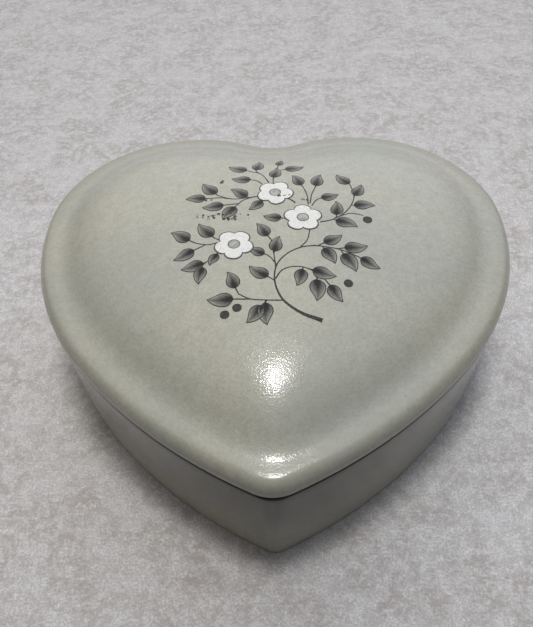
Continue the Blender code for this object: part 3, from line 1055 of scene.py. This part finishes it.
def floor_material():
    """A plain pale worktop, finely mottled, with painted shade darkening it towards the front."""
    made = Nodes("pale_worktop")
    place = made.object_place()
    clouds = made.spread(made.noise(place, 75.0, 3.0, 0.55), 0.36, 0.64)
    blots = made.spread(made.noise(place, 260.0, 4.0, 0.6), 0.42, 0.62)
    flakes = made.spread(made.noise(place, 620.0, 5.0, 0.7), 0.44, 0.66)
    grain = made.spread(made.noise(place, 2100.0, 3.0, 0.7), 0.36, 0.66)
    body = made.mix(clouds, FLOOR_WARM, FLOOR_COOL)
    body = made.mix(made.math("MULTIPLY", blots, 0.50), body, FLOOR_BLOT)
    body = made.mix(made.math("MULTIPLY", flakes, 0.60), body, FLOOR_FLAKE)
    body = made.mix(made.math("MULTIPLY", grain, 0.50), body, FLOOR_GRAIN)
    across = made.add("ShaderNodeSeparateXYZ")
    made.link(place, across.inputs[0])
    # Painted shade, darkening the worktop towards the front
    deep = made.spread(
        across.outputs["Y"], FLOOR_SHADED_FROM, FLOOR_UNSHADED_FROM, FLOOR_PAINTED_SHADE_SHARE, 0.0
    )
    body = made.mix(deep, body, FLOOR_PAINTED_SHADE)
    made.link(body, made.shader.inputs["Base Color"])
    made.shader.inputs["Roughness"].default_value = 0.75
    return made.material


# ---------------------------------------------------------------- stage, light and camera
def build_floor():
    builder = bmesh.new()
    bmesh.ops.create_grid(builder, x_segments=8, y_segments=8, size=FLOOR_SIZE)
    floor = finished_object("floor", builder)
    floor.location = (0.0, 0.0, CAD_BOUNDS[0].z)
    floor.data.materials.append(floor_material())


# The sheen's panel hangs a little behind the soft one that lights the box and the worktop
SHEEN_PLACE = (0.012, 0.103, 1.0)
SHEEN_SIZE = (0.12, 0.058)
SHEEN_ENERGY = 2.5
GLOW_SIZE = (0.30, 0.40)
GLOW_ENERGY = 0.5
SOFT_PLACE = (0.014, -0.012, 1.0)
SOFT_SIZE = (0.20, 0.15)
SOFT_ENERGY = 3.85
FILL_PLACE = (0.0, -0.30, 0.95)
FILL_SIZE = (0.24, 0.16)
FILL_ENERGY = 0.6
LAMP_COLOUR = (1.0, 0.992, 0.975)
# The room's glow comes from above and behind the box and leaves its front dark
SKY_LEAN = (0.03, 0.70, 0.71)
SKY_DARK_UP_TO = 0.42
SKY_LOW = 0.02
SKY_HIGH = 1.24
# It is warmer from the left and cooler from the right
SKY_TINT_REACH = 0.6
SKY_WARM = (1.07, 0.99, 0.91, 1.0)
SKY_COOL = (0.86, 0.98, 1.17, 1.0)


def add_panel(name, place, size, energy):
    """A rectangular ceiling panel shining straight down."""
    panel = bpy.data.lights.new(name, "AREA")
    panel.shape = "RECTANGLE"
    panel.size, panel.size_y = size
    panel.energy = energy
    panel.color = LAMP_COLOUR
    lamp = bpy.data.objects.new(name, panel)
    lamp.location = place
    bpy.context.scene.collection.objects.link(lamp)
    return lamp


def build_light():
    """Two ceiling panels that show only in reflections, and two that never show in them."""
    sheen = add_panel("sheen_panel", SHEEN_PLACE, SHEEN_SIZE, SHEEN_ENERGY)
    sheen.visible_diffuse = False
    glow = add_panel("sheen_glow", SHEEN_PLACE, GLOW_SIZE, GLOW_ENERGY)
    glow.visible_diffuse = False
    soft = add_panel("soft_panel", SOFT_PLACE, SOFT_SIZE, SOFT_ENERGY)
    soft.visible_glossy = False
    fill = add_panel("fill_panel", FILL_PLACE, FILL_SIZE, FILL_ENERGY)
    fill.visible_glossy = False


def build_room():
    """The glow round the scene: by how far up and back it comes from, tinted left to right."""
    world = bpy.data.worlds.new("room")
    bpy.context.scene.world = world
    world.use_nodes = True
    tree = world.node_tree
    background = tree.nodes["Background"]
    direction = tree.nodes.new("ShaderNodeTexCoord")
    parts = tree.nodes.new("ShaderNodeSeparateXYZ")
    tree.links.new(direction.outputs["Generated"], parts.inputs[0])
    side = tree.nodes.new("ShaderNodeMapRange")
    for key, number in (("From Min", -SKY_TINT_REACH), ("From Max", SKY_TINT_REACH)):
        side.inputs[key].default_value = number
    tree.links.new(parts.outputs["X"], side.inputs["Value"])
    tint = tree.nodes.new("ShaderNodeMix")
    tint.data_type = "RGBA"
    tint.inputs["A"].default_value = SKY_WARM
    tint.inputs["B"].default_value = SKY_COOL
    tree.links.new(side.outputs["Result"], tint.inputs["Factor"])
    tree.links.new(tint.outputs["Result"], background.inputs["Color"])
    lean = tree.nodes.new("ShaderNodeVectorMath")
    lean.operation = "DOT_PRODUCT"
    tree.links.new(direction.outputs["Generated"], lean.inputs[0])
    lean.inputs[1].default_value = SKY_LEAN
    glow = tree.nodes.new("ShaderNodeMapRange")
    glow.interpolation_type = "SMOOTHSTEP"
    for key, number in (("From Min", SKY_DARK_UP_TO), ("From Max", 1.0),
                        ("To Min", SKY_LOW), ("To Max", SKY_HIGH)):
        glow.inputs[key].default_value = number
    tree.links.new(lean.outputs["Value"], glow.inputs["Value"])
    tree.links.new(glow.outputs["Result"], background.inputs["Strength"])


CAMERA_DISTANCE = 157.6 * MM
# Angles in radians
CAMERA_ELEVATION = math.radians(48.0)
CAMERA_AZIMUTH = 0.039
CAMERA_ROLL = -0.040
CAMERA_TARGET = Vector((-1.5 * MM, -10.8 * MM, WIDEST_HEIGHT))
# Both in millimetres, as Blender's cameras count them
FOCAL_LENGTH = 40.1914
SENSOR_SIZE = 36.0
CLIP_START = 0.005
CLIP_END = 20.0


def build_camera():
    lens = bpy.data.cameras.new("camera")
    lens.sensor_width = SENSOR_SIZE
    lens.lens = FOCAL_LENGTH
    lens.clip_start = CLIP_START
    lens.clip_end = CLIP_END
    back = Vector((
        math.sin(CAMERA_AZIMUTH) * math.cos(CAMERA_ELEVATION),
        -math.cos(CAMERA_AZIMUTH) * math.cos(CAMERA_ELEVATION),
        math.sin(CAMERA_ELEVATION),
    ))
    right = (-back).cross(Vector((0, 0, 1))).normalized()
    up = right.cross(-back)
    turn = Matrix((
        math.cos(CAMERA_ROLL) * right + math.sin(CAMERA_ROLL) * up,
        math.cos(CAMERA_ROLL) * up - math.sin(CAMERA_ROLL) * right,
        back,
    )).transposed().to_4x4()
    turn.translation = CAMERA_TARGET + CAMERA_DISTANCE * back
    camera = bpy.data.objects.new("camera", lens)
    camera.matrix_world = turn
    bpy.context.scene.collection.objects.link(camera)
    bpy.context.scene.camera = camera


# ---------------------------------------------------------------- put together
glaze = glaze_material("stoneware_glaze", *LID_GLAZE)
base_glaze = glaze_material("stoneware_base_glaze", *BASE_GLAZE)
clay = clay_material()
base = build_base(base_glaze, clay)
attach(base, "box_body")
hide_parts("box_base")
lid = build_lid(glaze, clay)
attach(lid, "lid_body")
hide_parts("lid")
spray = build_spray(
    leaf_material(),
    ink_material("stem_ink", *STEM_INK),
    enamel_material(),
    ink_material("berry_ink", *BERRY_INK),
)
flecks = build_flecks(ink_material("worn_print", *WORN_INK))
for piece in (*spray, flecks):
    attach(piece, "lid_body")
build_floor()
build_light()
build_room()
build_camera()
bpy.context.scene.view_settings.view_transform = "Standard"
